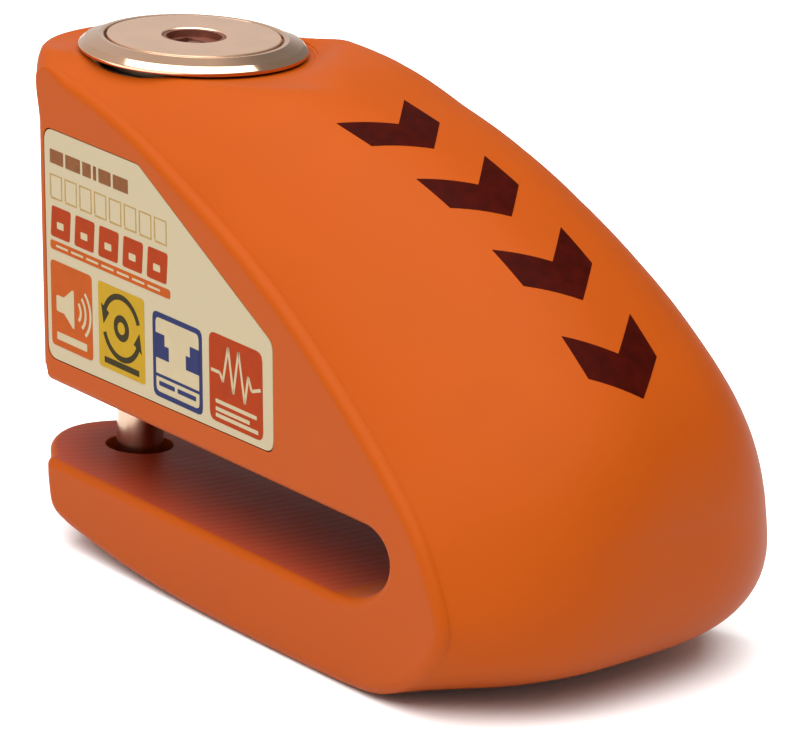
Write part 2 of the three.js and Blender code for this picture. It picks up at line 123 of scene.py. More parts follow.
# Outline of a side face, clockwise from the top front: x, z, how far the middle of the body bulges
# out past the outline there, and the power that shapes the bulge across the width.
OUTLINE = [
    (-1.6, 62.8, 3.4, 2.6), (2.5, 62, 3.8, 4), (8.5, 60.8, 5.5, 10), (17.5, 58.2, 8.9, 8),
    (26, 54.8, 12.1, 5.5), (35, 51, 13.8, 4.2), (43.5, 46.8, 15.6, 3.6), (51.5, 42, 17.1, 3.2),
    (59.5, 36.4, 18, 3.1), (67, 30.5, 18.1, 3.1), (74, 23.8, 17.2, 3.1), (78, 17.2, 13.8, 3.3),
    (79.5, 12, 10, 3.3), (76.5, 7, 5.6, 3.2), (71.5, 3.2, 2.4, 3), (66, 0.9, 0.5, 3),
    (60, 0.2, 0, 3), (50, 0, 0, 3), (38, 0, 0, 3), (26, 0.3, 0, 3),
    (15, 1.1, 0, 3), (6, 2.3, 0.3, 2), (0, 3.4, 2, 2), (-2.8, 4.8, 4, 2),
    (-3.7, 8, 6.6, 2), (-3.9, 12, 7.8, 2), (-4.2, 30, 8.2, 2.2), (-4.4, 50, 8.2, 2.3),
    (-4.35, 59.8, 8.25, 2.3), (-3.8, 61.85, 8.2, 2.3),
]

FRONT_FOOT = 23  # index of the outline's point at the foot of the front
TANGENT_STEP = 0.06  # share of an outline step over which its direction is taken
NEAR_POWER = 2.2  # the crown is rounder on the label's side, fully so above NEAR_HIGH
NEAR_LOW = 8
NEAR_HIGH = 26
TOP_Z = 63.9  # flat top of the body round the cap
TOP_R = 15.2  # the body starts to rise again this far from the barrel's axis
TOP_BLEND = 0.7
NEAR_RISE = 0.1  # slope of that rise on the label's side
FAR_RISE = 0.7  # and on the cover's side, behind the cap
FRONT_DIP = 1.1  # drop of the top towards the front

LABEL = [(-1.8, 25.2), (47.2, 25.8), (47.2, 39.5), (19, 54.9), (-1.8, 54.9)]
COVER = [(24, 23.4), (62.5, 23.4), (62.5, 29.6), (48, 41), (28.5, 51.2), (24, 51.2)]
COVER_THICK = 3.0
CAVITY = [(29.5, 25.8), (55.5, 25.8), (45.5, 37.3), (31.5, 46.5), (29.5, 46.5)]
CAVITY_FLOOR_Y = -15.5
COVER_SCREWS = [(26.8, 26.2), (59.4, 26.4), (26.8, 48.4), (48.3, 38)]
SOUND_SLOTS = [33, 36, 39, 42]
SOUND_SLOT_WIDE = 1.4
SOUND_SLOT_LOW = 32
SOUND_SLOT_HIGH = 40
SCREW_R = 1.25
SCREW_LONG = 9.0
SWITCH_Y = 5.0
SWITCH_Z = 41.2
PLUNGER_HOLE_R = 1.3
STOP_Y = -6.0
STOP_Z = 44.5
STOP_R = 1.2


def at(x, y, z):
    return Vector((PIN_X + x * MM, y * MM, z * MM))


# ---------------------------------------------------------------- materials
GLOSS_CHANGE = 0.12  # share by which roughness drifts over a surface
MILLING_AT = (-26, 6, SLOT_LOW)  # centre of the arcs that the slot's cutter left
MILLING_WAVE = 5.2
MILLING_DEPTH = 0.013  # both in millimetres


def tint(colour, factor):
    """The colour, lighter or darker, with an alpha of one."""
    return tuple(min(c * factor, 1.0) for c in colour) + (1.0,)


def finish_of(name, colour, roughness, metallic=0.0, mottle=0.05, mottle_size=6.0, grain=0.25,
              grain_depth=0.004, coat=0.0, specular=0.5, pattern=None):
    """Principled material with a gentle change of colour and gloss over mottle_size mm and a grain
    of grain mm. pattern adds lines: "rings" round the barrel axis, or "upright" along z."""
    mat = bpy.data.materials.new(name)
    mat.use_nodes = True
    nodes, links = mat.node_tree.nodes, mat.node_tree.links
    shader = nodes["Principled BSDF"]
    shader.inputs["Metallic"].default_value = metallic
    shader.inputs["Specular IOR Level"].default_value = specular
    shader.inputs["Coat Weight"].default_value = coat
    shader.inputs["Coat Roughness"].default_value = 0.25
    coords = nodes.new("ShaderNodeTexCoord")

    cloud = nodes.new("ShaderNodeTexNoise")
    cloud.inputs["Scale"].default_value = 1 / (mottle_size * MM)
    cloud.inputs["Detail"].default_value = 4.0
    links.new(coords.outputs["Object"], cloud.inputs["Vector"])
    ramp = nodes.new("ShaderNodeValToRGB")
    ramp.color_ramp.elements[0].position = 0.3
    ramp.color_ramp.elements[0].color = tint(colour, 1 - mottle)
    ramp.color_ramp.elements[1].position = 0.7
    ramp.color_ramp.elements[1].color = tint(colour, 1 + mottle)
    links.new(cloud.outputs["Fac"], ramp.inputs["Fac"])
    links.new(ramp.outputs["Color"], shader.inputs["Base Color"])
    gloss = nodes.new("ShaderNodeMapRange")
    gloss.inputs["To Min"].default_value = roughness * (1 - GLOSS_CHANGE)
    gloss.inputs["To Max"].default_value = roughness * (1 + GLOSS_CHANGE)
    links.new(cloud.outputs["Fac"], gloss.inputs["Value"])
    links.new(gloss.outputs["Result"], shader.inputs["Roughness"])

    fine = nodes.new("ShaderNodeTexNoise")
    fine.inputs["Scale"].default_value = 1 / (grain * MM)
    fine.inputs["Detail"].default_value = 3.0
    source = coords.outputs["Object"]
    if pattern:
        place = nodes.new("ShaderNodeVectorMath")
        place.operation = "SUBTRACT"
        place.inputs[1].default_value = at(BARREL_X, 0, 0)
        links.new(source, place.inputs[0])
        squeeze = nodes.new("ShaderNodeVectorMath")
        squeeze.operation = "MULTIPLY"
        squeeze.inputs[1].default_value = (1, 1, 0.02) if pattern == "upright" else (1, 1, 0)
        links.new(place.outputs["Vector"], squeeze.inputs[0])
        source = squeeze.outputs["Vector"]
        if pattern == "rings":
            length = nodes.new("ShaderNodeVectorMath")
            length.operation = "LENGTH"
            links.new(source, length.inputs[0])
            combine = nodes.new("ShaderNodeCombineXYZ")
            links.new(length.outputs["Value"], combine.inputs["X"])
            source = combine.outputs["Vector"]
    links.new(source, fine.inputs["Vector"])
    bump = nodes.new("ShaderNodeBump")
    bump.inputs["Strength"].default_value = 1.0
    bump.inputs["Distance"].default_value = grain_depth * MM
    links.new(fine.outputs["Fac"], bump.inputs["Height"])
    links.new(bump.outputs["Normal"], shader.inputs["Normal"])
    return mat


def milled_paint(name, colour):
    """Paint over the arcs that a wide cutter leaves on the slot's faces."""
    mat = finish_of(name, colour, 0.5, specular=0.12)
    nodes, links = mat.node_tree.nodes, mat.node_tree.links
    coords = nodes.new("ShaderNodeTexCoord")
    place = nodes.new("ShaderNodeVectorMath")
    place.operation = "SUBTRACT"
    place.inputs[1].default_value = at(*MILLING_AT)
    links.new(coords.outputs["Object"], place.inputs[0])
    wave = nodes.new("ShaderNodeTexWave")
    wave.wave_type = "RINGS"
    wave.rings_direction = "Z"
    wave.inputs["Scale"].default_value = 1 / (MILLING_WAVE * MM)
    wave.inputs["Distortion"].default_value = 1.5
    wave.inputs["Detail"].default_value = 2.0
    links.new(place.outputs["Vector"], wave.inputs["Vector"])
    bump = nodes.new("ShaderNodeBump")
    bump.inputs["Distance"].default_value = MILLING_DEPTH * MM
    links.new(wave.outputs["Fac"], bump.inputs["Height"])
    links.new(bump.outputs["Normal"], nodes["Principled BSDF"].inputs["Normal"])
    return mat


paint = finish_of("satin_orange", (0.278, 0.046, 0.0018), 0.5, mottle=0.02, mottle_size=12, grain=0.35,
                  grain_depth=0.0012, specular=0.06)
# The milled paint is darker than the body's paint. It is painted shade for the inside of the slot, laid
# over the real milling arcs.
shaded_milled_paint = milled_paint("milled_orange_painted_shade", (0.255, 0.034, 0.011))
paint_dark = finish_of("dark_print", (0.028, 0.0015, 0.0004), 0.5, mottle=0.25, mottle_size=2,
                       specular=0.02)
steel = finish_of("polished_steel", (0.66, 0.42, 0.28), 0.1, 1.0, grain=0.6, grain_depth=0.0006)
pin_steel = finish_of("ground_steel", (0.48, 0.34, 0.25), 0.2, 1.0, grain=0.3, grain_depth=0.002,
                      pattern="upright")
brushed = finish_of("turned_steel", (0.76, 0.50, 0.345), 0.32, 1.0, mottle=0.04, grain=0.16,
                    grain_depth=0.002, pattern="rings")
dark_steel = finish_of("oiled_steel", (0.20, 0.17, 0.15), 0.38, 1.0, mottle=0.15, mottle_size=3,
                       pattern="upright")
# The core's dark brown is far darker than its steel's own colour. It is painted shade for the inside of
# the keyhole.
core_steel_painted_shade = finish_of("core_steel_painted_shade", (0.16, 0.05, 0.03), 0.5, 0.6, mottle=0.2, mottle_size=1.5)
brass = finish_of("machined_brass", (0.62, 0.42, 0.16), 0.28, 1.0, mottle=0.1, mottle_size=3)
rubber = finish_of("seal_rubber", (0.02, 0.02, 0.02), 0.8, mottle=0.3, mottle_size=1.5, grain=0.1)
black_plastic = finish_of("black_plastic", (0.025, 0.026, 0.03), 0.5, mottle=0.2, mottle_size=2)
grey_plastic = finish_of("grey_plastic", (0.14, 0.15, 0.16), 0.5, mottle=0.12, mottle_size=2)
solder_mask = finish_of("solder_mask", (0.015, 0.11, 0.045), 0.35, mottle=0.2, mottle_size=1.2,
                        coat=0.4)
sleeve = finish_of("battery_sleeve", (0.03, 0.09, 0.30), 0.3, mottle=0.08, mottle_size=4, coat=0.5)
cream = finish_of("label_film", (0.288, 0.23, 0.132), 0.4, mottle=0.02, mottle_size=9, specular=0.3)
cream_ink = finish_of("cream_ink", (0.29, 0.228, 0.122), 0.4, mottle=0.04, mottle_size=2, specular=0.3)
brown_ink = finish_of("brown_ink", (0.13, 0.045, 0.012), 0.45, mottle=0.15, mottle_size=1,
                      specular=0.05)
gold_ink = finish_of("gold_ink", (0.25, 0.16, 0.05), 0.45, mottle=0.1, mottle_size=1, specular=0.05)
red_ink = finish_of("red_ink", (0.22, 0.024, 0.003), 0.42, mottle=0.06, mottle_size=2, specular=0.02)
orange_ink = finish_of("orange_ink", (0.28, 0.052, 0.006), 0.42, mottle=0.06, mottle_size=2,
                       specular=0.02)
yellow_ink = finish_of("yellow_ink", (0.29, 0.172, 0.006), 0.42, mottle=0.04, mottle_size=2,
                       specular=0.03)
blue_ink = finish_of("blue_ink", (0.014, 0.018, 0.066), 0.42, mottle=0.1, mottle_size=2, specular=0.03)
olive_ink = finish_of("olive_ink", (0.022, 0.016, 0.003), 0.42, mottle=0.1, mottle_size=2,
                      specular=0.03)


# ---------------------------------------------------------------- mesh helpers
def mesh_piece(name, points, faces, material):
    """A mesh from points in millimetres."""
    mesh = bpy.data.meshes.new(name)
    mesh.from_pydata([at(*p) for p in points], [], faces)
    obj = bpy.data.objects.new(name, mesh)
    scene.collection.objects.link(obj)
    work = bmesh.new()
    work.from_mesh(mesh)
    bmesh.ops.recalc_face_normals(work, faces=work.faces)
    work.to_mesh(mesh)
    work.free()
    mesh.materials.append(material)
    return obj


def applied(obj):
    """The object's modifiers, turned into its mesh."""
    bpy.context.view_layer.update()
    result = obj.evaluated_get(bpy.context.evaluated_depsgraph_get())
    mesh = bpy.data.meshes.new_from_object(result)
    obj.modifiers.clear()
    obj.data = mesh
    return obj


def cut(obj, *cutters, operation="DIFFERENCE"):
    for cutter in cutters:
        step = obj.modifiers.new("cut", "BOOLEAN")
        step.operation = operation
        step.object = cutter
        step.solver = "MANIFOLD"
    applied(obj)
    for cutter in cutters:
        bpy.data.objects.remove(cutter)
    return obj


def bevel(obj, width, segments=2, angle=40):
    step = obj.modifiers.new("bevel", "BEVEL")
    step.width = width * MM
    step.segments = segments
    step.limit_method = "ANGLE"
    step.angle_limit = math.radians(angle)
    return applied(obj)


def smooth(obj, angle=35):
    """Smooth shading that stops at sharp edges and keeps flat faces flat."""
    obj.data.shade_smooth()
    obj.data.set_sharp_from_angle(angle=math.radians(angle))
    step = obj.modifiers.new("normals", "WEIGHTED_NORMAL")
    step.keep_sharp = True
    return obj


def done(obj, body, *nodes):
    """Smooths a piece, lets it ride on a CAD body and puts it in the place of the named CAD nodes."""
    smooth(obj)
    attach(obj, body)
    if nodes:
        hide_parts(*nodes)
    return obj


def rounded(points, r, steps=6):
    """Closed polygon with each corner turned into an arc-like curve that starts r from it."""
    out = []
    for i, corner in enumerate(points):
        a, b, c = Vector(points[i - 1]), Vector(corner), Vector(points[(i + 1) % len(points)])
        to_a, to_c = (a - b).normalized(), (c - b).normalized()
        half = math.acos(max(-1, min(1, to_a.dot(to_c)))) / 2
        reach = min(r / math.tan(half), (a - b).length * 0.45, (c - b).length * 0.45)
        start, end = b + to_a * reach, b + to_c * reach
        for k in range(steps + 1):
            t = k / steps
            out.append(tuple(start * (1 - t) ** 2 + b * 2 * t * (1 - t) + end * t * t))
    return out


def grown(points, by):
    """Convex polygon with every side moved out."""
    out = []
    for i, corner in enumerate(points):
        a, b, c = Vector(points[i - 1]), Vector(corner), Vector(points[(i + 1) % len(points)])
        to_a, to_c = (a - b).normalized(), (c - b).normalized()
        half = math.acos(max(-1, min(1, to_a.dot(to_c)))) / 2
        out.append(tuple(b - (to_a + to_c).normalized() * (by / math.sin(half))))
    return out


def circle(x, z, r, n=48):
    angles = [2 * math.pi * i / n for i in range(n)]
    return [(x + r * math.cos(a), z + r * math.sin(a)) for a in angles]


def lathe(name, profile, material, x=BARREL_X, y=0.0, segments=128):
    """Closed ring or solid turned about the upright axis at x, y from a closed profile of (r, z)."""
    points, faces, n = [], [], len(profile)
    for i in range(segments):
        a = 2 * math.pi * i / segments
        points += [(x + r * math.cos(a), y + r * math.sin(a), z) for r, z in profile]
    for i in range(segments):
        j = (i + 1) % segments
        faces += [(i * n + k, j * n + k, j * n + (k + 1) % n, i * n + (k + 1) % n) for k in range(n)]
    obj = mesh_piece(name, points, faces, material)
    work = bmesh.new()
    work.from_mesh(obj.data)
    bmesh.ops.remove_doubles(work, verts=work.verts, dist=1e-7)
    bmesh.ops.dissolve_degenerate(work, edges=work.edges, dist=1e-7)
    bmesh.ops.recalc_face_normals(work, faces=work.faces)
    work.to_mesh(obj.data)
    work.free()
    return obj


def rod(name, start, end, r, material, edge=0.2, segments=64):
    """Round bar from start to end with bevelled ends."""
    a, b = Vector(start), Vector(end)
    axis = (b - a).normalized()
    turn = axis.to_track_quat("Z", "Y").to_matrix()
    long = (b - a).length
    profile = [(0.0, 0.0), (r - edge, 0.0), (r, edge), (r, long - edge), (r - edge, long), (0.0, long)]
    if edge == 0:
        profile = [(0.0, 0.0), (r, 0.0), (r, long), (0.0, long)]
    points, faces = [tuple(a)], []
    rings = profile[1:-1]
    for radius, height in rings:
        for i in range(segments):
            angle = 2 * math.pi * i / segments
            spoke = Vector((radius * math.cos(angle), radius * math.sin(angle), height))
            points.append(tuple(a + turn @ spoke))
    points.append(tuple(b))
    last = len(points) - 1
    for i in range(segments):
        j = (i + 1) % segments
        faces.append((0, 1 + j, 1 + i))
        for k in range(len(rings) - 1):
            base = 1 + k * segments
            faces.append((base + i, base + j, base + segments + j, base + segments + i))
        base = 1 + (len(rings) - 1) * segments
        faces.append((last, base + i, base + j))
    return mesh_piece(name, points, faces, material)


def block(name, x0, x1, y0, y1, z0, z1, material, edge=0.0):
    corners = [(x, y, z) for x in (x0, x1) for y in (y0, y1) for z in (z0, z1)]
    faces = [(0, 1, 3, 2), (4, 6, 7, 5), (0, 4, 5, 1), (2, 3, 7, 6), (0, 2, 6, 4), (1, 5, 7, 3)]
    obj = mesh_piece(name, corners, faces, material)
    return bevel(obj, edge) if edge else obj


def prism(name, outline, y0, y1, material):
    """Solid over an outline of (x, z), from y0 to y1."""
    n = len(outline)
    points = [(x, y, z) for y in (y0, y1) for x, z in outline]
    faces = [tuple(range(n)), tuple(range(2 * n - 1, n - 1, -1))]
    faces += [(i, n + i, n + (i + 1) % n, (i + 1) % n) for i in range(n)]
    return mesh_piece(name, points, faces, material)


def tube_faces(rows, columns):
    """Quads between rows of points, round each row, with the first and last row as end faces."""
    faces = [(j * columns + i, j * columns + (i + 1) % columns, (j + 1) * columns + (i + 1) % columns,
              (j + 1) * columns + i) for j in range(rows - 1) for i in range(columns)]
    faces.append(tuple(range(columns)))
    faces.append(tuple(range(rows * columns - 1, (rows - 1) * columns - 1, -1)))
    return faces


# ---------------------------------------------------------------- body surface
def half_width(x, z):
    """Distance of the side faces from the middle plane."""
    return SIDE_HALF + x * math.tan(SIDE_TAPER) + (z - SLOT_LOW) * math.tan(SIDE_DRAFT)


def outline_point(u, columns=3):
    """Closed Catmull-Rom curve through the outline's first columns, u in control points."""
    n = len(OUTLINE)
    i = math.floor(u)
    f = u - i
    p0, p1, p2, p3 = (OUTLINE[(i + k) % n] for k in (-1, 0, 1, 2))
    return [0.5 * (2 * p1[c] + (p2[c] - p0[c]) * f + (2 * p0[c] - 5 * p1[c] + 4 * p2[c] - p3[c]) * f * f
                   + (3 * p1[c] - p0[c] - 3 * p2[c] + p3[c]) * f ** 3) for c in range(columns)]


def station(u):
    """Point, outward normal in the xz plane, bulge and power of the outline at u."""
    x, z, bulge = outline_point(u)
    ahead, behind = outline_point(u + TANGENT_STEP, 2), outline_point(u - TANGENT_STEP, 2)
    along = Vector((ahead[0] - behind[0], ahead[1] - behind[1])).normalized()
    i = math.floor(u) % len(OUTLINE)
    f = u - math.floor(u)
    power = OUTLINE[i][3] * (1 - f) + OUTLINE[(i + 1) % len(OUTLINE)][3] * f
    return x, z, -along.y, along.x, max(bulge, 0), power


def smoothstep(value, low, high):
    t = min(max((value - low) / (high - low), 0.0), 1.0)
    return t * t * (3 - 2 * t)


def edge_radius(x, z):
    """Radius of the edge between a side face and the crown."""
    away = math.hypot(x - CORNER[0], z - CORNER[1])
    return CORNER_R + (EDGE_R - CORNER_R) * smoothstep(away, CORNER_NEAR, CORNER_FAR)


def settled(x, y, z):
    """Height of the crown once it is kept down to the flat top round the cap."""
    away = max(0.0, math.hypot(x - BARREL_X, y) - TOP_R)
    far = smoothstep(y, -4, 12) * smoothstep(x, 0, 12)
    rise = (NEAR_RISE + (FAR_RISE - NEAR_RISE) * far) * away
    limit = TOP_Z + rise - FRONT_DIP * smoothstep(-x, 2, 12)
    h = min(max(0.5 + (limit - z) / (2 * TOP_BLEND), 0.0), 1.0)
    return limit + (z - limit) * h - TOP_BLEND * h * (1 - h)


def skin_point(place, across, lift=0.0):
    """Point of the crowned skin: across runs from -1 to 1 between the side faces' rounded edges."""
    x, z, nx, nz, bulge, power = place
    if across < 0:
        power = min(power, power + (NEAR_POWER - power) * smoothstep(z, NEAR_LOW, NEAR_HIGH))
    out = bulge * (1 - abs(across) ** power) + lift
    skin_x, skin_y = x + nx * out, across * (half_width(x, z) - edge_radius(x, z))
    return skin_x, skin_y, settled(skin_x, skin_y, z + nz * out)


def body_skin(stations=360, slices=72, edge_steps=6):
    """The whole body as one closed skin, before anything is cut out of it."""
    places = [station(len(OUTLINE) * i / stations) for i in range(stations)]

    def edge_row(side, angle):
        row = []
        for x, z, nx, nz, _, _ in places:
            r = edge_radius(x, z)
            inset = r * (1 - math.cos(angle))
            ex, ez = x - nx * inset, z - nz * inset
            row.append((ex, side * (half_width(ex, ez) - r * (1 - math.sin(angle))), ez))
        return row

    angles = [math.pi / 2 * k / edge_steps for k in range(edge_steps, 0, -1)]
    rows = [edge_row(-1, a) for a in angles]
    for j in range(slices + 1):
        across = -math.cos(math.pi * j / slices)
        rows.append([skin_point(p, across) for p in places])
    rows += [edge_row(1, a) for a in reversed(angles)]
    faces = tube_faces(len(rows), stations)
    return mesh_piece("casting", [p for row in rows for p in row], faces, paint)


def flare_steps(steps=6, top=80):
    """Steps round a rounded lip, then past it: distance into the metal and below the rim, in radii."""
    out = []
    for k in range(steps + 1):
        a = math.radians(top * k / steps)
        out.append((1 - math.cos(a), 1 - math.sin(a)))
    a = math.radians(top)
    out.append((out[-1][0] + 0.5 * math.sin(a), out[-1][1] - 0.5 * math.cos(a)))
    return out


def slot_outline(straight=30, turn=24):
    """Side view of the slot, from the upper jaw round the closed end: x, z, normal into the metal."""
    line = [(SLOT_BEYOND, SLOT_HIGH, 0, 1)]
    line += [(SLOT_MOUTH + (SLOT_TURN_HIGH - SLOT_MOUTH) * k / straight, SLOT_HIGH, 0, 1)
             for k in range(straight)]
    for k in range(2 * turn + 1):
        a = math.pi / 2 * (1 - k / turn)
        start = SLOT_TURN_HIGH if k < turn else SLOT_TURN_LOW
        rise = SLOT_HIGH - SLOT_END_Z if k < turn else SLOT_END_Z - SLOT_LOW
        reach = SLOT_END - start
        normal = Vector((math.cos(a) / reach, math.sin(a) / rise)).normalized()
        line.append((start + reach * math.cos(a), SLOT_END_Z + rise * math.sin(a), normal.x, normal.y))
    line += [(SLOT_TURN_LOW + (SLOT_MOUTH - SLOT_TURN_LOW) * k / straight, SLOT_LOW, 0, -1)
             for k in range(1, straight + 1)]
    return line + [(SLOT_BEYOND, SLOT_LOW, 0, -1)]


def slot_cutter():
    """The brake disc's slot, flaring at both side faces."""
    line = slot_outline()
    rows = []
    for side in (-1, 1):
        half = []
        for into, below in [(0, 6)] + flare_steps():
            row = []
            for x, z, nx, nz in line:
                ex, ez = x + nx * into * LIP_R, z + nz * into * LIP_R
                row.append((ex, side * (half_width(ex, ez) - below * LIP_R), ez))
            half.append(row)
        half.append([(x, y + side * 6, z) for x, y, z in half[-1]])
        rows += reversed(half) if side < 0 else half
    faces = tube_faces(len(rows), len(line))
    return mesh_piece("slot_cutter", [p for row in rows for p in row], faces, paint)


def front_plan(level, slices=60, corner_steps=6):
    """Plan view of the body's front at a height, from one side face round to the other."""
    climb = [FRONT_FOOT + k * 0.01 for k in range(600)]
    u = next(u for u in climb if outline_point(u)[1] >= level)
    x, z, _, _, bulge, power = station(u)
    path = []
    for k in range(slices + 1):
        across = -math.cos(math.pi * k / slices)
        path.append((x - bulge * (1 - abs(across) ** power), across * (half_width(x, z) - EDGE_R)))
    corner = []
    for k in range(1, corner_steps + 1):
        a = math.pi / 2 * k / corner_steps
        corner.append((x + EDGE_R * (1 - math.cos(a)), half_width(x, z) - EDGE_R * (1 - math.sin(a))))
    return [(px, -py) for px, py in reversed(corner)] + path + corner


def lip_cutter(level, up, r):
    """Rounds the front edge of a jaw where the slot opens. up is 1 for the upper jaw and -1 below."""
    path = front_plan(level)
    sections = []
    for i, (x, y) in enumerate(path):
        before, after = path[max(i - 1, 0)], path[min(i + 1, len(path) - 1)]
        along = Vector((after[0] - before[0], after[1] - before[1])).normalized()
        profile = [(r * 1.6, -0.04)]
        profile += [(r * below, r * into) for into, below in flare_steps()]
        profile += [(-1.2, profile[-1][1]), (-1.2, -1.2), (r * 1.6, -1.2)]
        sections.append([(x + along.y * d, y - along.x * d, level + up * h) for d, h in profile])
    faces = tube_faces(len(sections), len(sections[0]))
    return mesh_piece("lip_cutter", [p for s in sections for p in s], faces, paint)


def side_frame(side):
    """Origin, long direction, inward normal and up direction of a side face."""
    tan_a, tan_d = math.tan(SIDE_TAPER), math.tan(SIDE_DRAFT)
    normal = Vector((-tan_a, side, -tan_d)).normalized()
    along = Vector((1, side * tan_a, 0)).normalized()
    up = along.cross(normal).normalized()
    if up.z < 0:
        up.negate()
    return Vector((0, side * half_width(0, 0), 0)), along, normal * side, up


def laid(side, name, outline, y0, y1, material, edge=0.0):
    """Plate drawn flat on the xz plane, outer face at y = 0, laid on a side face."""
    origin, along, inward, up = side_frame(side)
    n = len(outline)
    points = [tuple(origin + along * x + inward * y + up * z) for y in (y0, y1) for x, z in outline]
    faces = [tuple(range(n)), tuple(range(2 * n - 1, n - 1, -1))]
    faces += [(i, n + i, n + (i + 1) % n, (i + 1) % n) for i in range(n)]
    obj = mesh_piece(name, points, faces, material)
    return bevel(obj, edge) if edge else obj


def seat_cutter(skin, segments=128):
    """Round recess under the cap, with a rounded rim that follows the skin's own height."""
    tree = BVHTree.FromObject(skin, bpy.context.evaluated_depsgraph_get())
    r = CAP_R + SEAT_ROOM
    steps = flare_steps()
    columns = []
    for i in range(segments):
        a = 2 * math.pi * i / segments
        c, s = math.cos(a), math.sin(a)
        hit = tree.ray_cast(at(BARREL_X + (r + 0.2) * c, (r + 0.2) * s, 90), Vector((0, 0, -1)))[0]
        top = max(hit.z / MM, SEAT_Z + 0.05) if hit else SEAT_Z + 0.05
        wall_top = (SEAT_Z + top - SEAT_RIM_R) / 2 if top - SEAT_RIM_R > SEAT_Z else SEAT_Z + 0.01
        profile = [(r, SEAT_Z), (r, wall_top)]
        for into, below in steps:
            profile.append((r + into * SEAT_RIM_R, max(top - below * SEAT_RIM_R, SEAT_Z + 0.02)))
        profile.append((r + steps[-1][0] * SEAT_RIM_R, BEYOND))
        columns.append([(BARREL_X + radius * c, radius * s, z) for radius, z in profile])
    rows = list(zip(*columns))
    faces = tube_faces(len(rows), segments)
    return mesh_piece("seat_cutter", [p for row in rows for p in row], faces, paint)


def build_body():
    """The casting: its skin, less the slot, the seats, the bores and the alarm's cavity."""
    body = body_skin()
    seat = seat_cutter(body)
    bolt_room = BOLT_R + GAP
    hole_lip = [(0, PIN_HOLE_FLOOR), (PIN_HOLE_R, PIN_HOLE_FLOOR)]
    for into, below in flare_steps():
        hole_lip.append((PIN_HOLE_R + into * HOLE_LIP_R, SLOT_LOW - below * HOLE_LIP_R))
    hole_lip += [(hole_lip[-1][0], SLOT_LOW + 1.5), (0, SLOT_LOW + 1.5)]
    barrel_bore = [(0, BORE_FLOOR), (BORE_R, BORE_FLOOR), (BORE_R, BUSH_SEAT),
                   (BORE_R + BUSH_WALL, BUSH_SEAT), (BORE_R + BUSH_WALL, BEYOND), (0, BEYOND)]
    cutters = [
        block("floor", -60, 140, -60, 60, -20, 0, paint),
        slot_cutter(),
        lip_cutter(SLOT_HIGH, 1, UPPER_LIP_R),
        lip_cutter(SLOT_LOW, -1, LOWER_LIP_R),
        laid(-1, "label_seat", rounded(grown(LABEL, 0.22), 1.8), -3, 0.6, paint),
        laid(1, "cover_seat", rounded(grown(COVER, 0.3), 1.5), -COVER_THICK - GAP - 0.8, 6, paint),
        prism("cavity", rounded(CAVITY, 0.8), CAVITY_FLOOR_Y, 40, shaded_milled_paint),
        seat,
        lathe("bore", barrel_bore, shaded_milled_paint),
        lathe("pin_hole", hole_lip, shaded_milled_paint, x=0, segments=96),
        rod("pin_guide", (0, 0, 18), (0, 0, 26), PIN_R + GAP, shaded_milled_paint, edge=0),
        block("keyways", BARREL_X - bolt_room, BARREL_X + bolt_room, -BOLT_OUT - 0.5, BOLT_OUT + 0.5,
              BOLT_Z - bolt_room, BOLT_Z + bolt_room + TRAVEL, shaded_milled_paint),
        rod("plunger_hole", (15, SWITCH_Y, SWITCH_Z), (31, SWITCH_Y, SWITCH_Z), PLUNGER_HOLE_R,
            shaded_milled_paint, edge=0),
        rod("stop_hole", (14, STOP_Y, STOP_Z), (31, STOP_Y, STOP_Z), STOP_R + GAP, shaded_milled_paint, edge=0),
    ]
    for x, z in COVER_SCREWS:
        hole = circle(x, z, SCREW_R + GAP, 24)
        cutters.append(laid(1, "screw_hole", hole, -COVER_THICK - SCREW_LONG, 0, paint))
    cut(body, *cutters)
    body.data.materials.clear()
    body.data.materials.append(paint)
    body.data.materials.append(shaded_milled_paint)
    # The slot's flat floor and roof take the darker milled paint, which is painted shade for the inside
    # of the slot.
    for face in body.data.polygons:
        height = face.center.z / MM
        on_jaw = min(abs(height - SLOT_LOW), abs(height - SLOT_HIGH)) < 0.02
        in_slot = face.center.x < PIN_X + SLOT_END * MM
        face.material_index = 1 if on_jaw and in_slot and abs(face.normal.z) > 0.98 else 0
    return done(body, "casing", "body")


